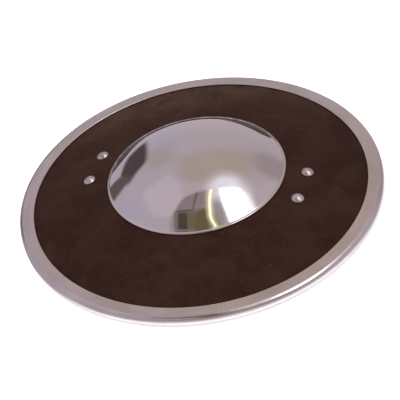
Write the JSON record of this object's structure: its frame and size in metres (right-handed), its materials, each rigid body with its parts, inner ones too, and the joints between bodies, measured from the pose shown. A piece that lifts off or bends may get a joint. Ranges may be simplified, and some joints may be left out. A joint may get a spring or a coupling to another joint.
{
  "type": "buckler shield",
  "caption": "Round dished hand shield with a brown suede face, polished steel rim and domed boss, held by a riveted grip across the hand hole.",
  "frame": {"origin": "centre of the rim's underside, on the surface that the shield lies on", "axes": "+Z out through the top of the boss, +X along the grip"},
  "size_m": [0.356, 0.356, 0.0497],
  "materials": {
    "polished_steel": "polished bright",
    "forged_steel": "satin",
    "suede": "napped suede",
    "plywood": "oiled",
    "handle_wood": "oiled"
  },
  "bodies": {
    "root": {"board": "plywood", "suede_facing": "suede", "rim": "polished_steel", "boss": "polished_steel", "rivet_1": "polished_steel", "rivet_2": "polished_steel", "rivet_3": "polished_steel", "rivet_4": "polished_steel", "grip_strap": "forged_steel", "grip_handle": "handle_wood"}
  },
  "joints": []
}
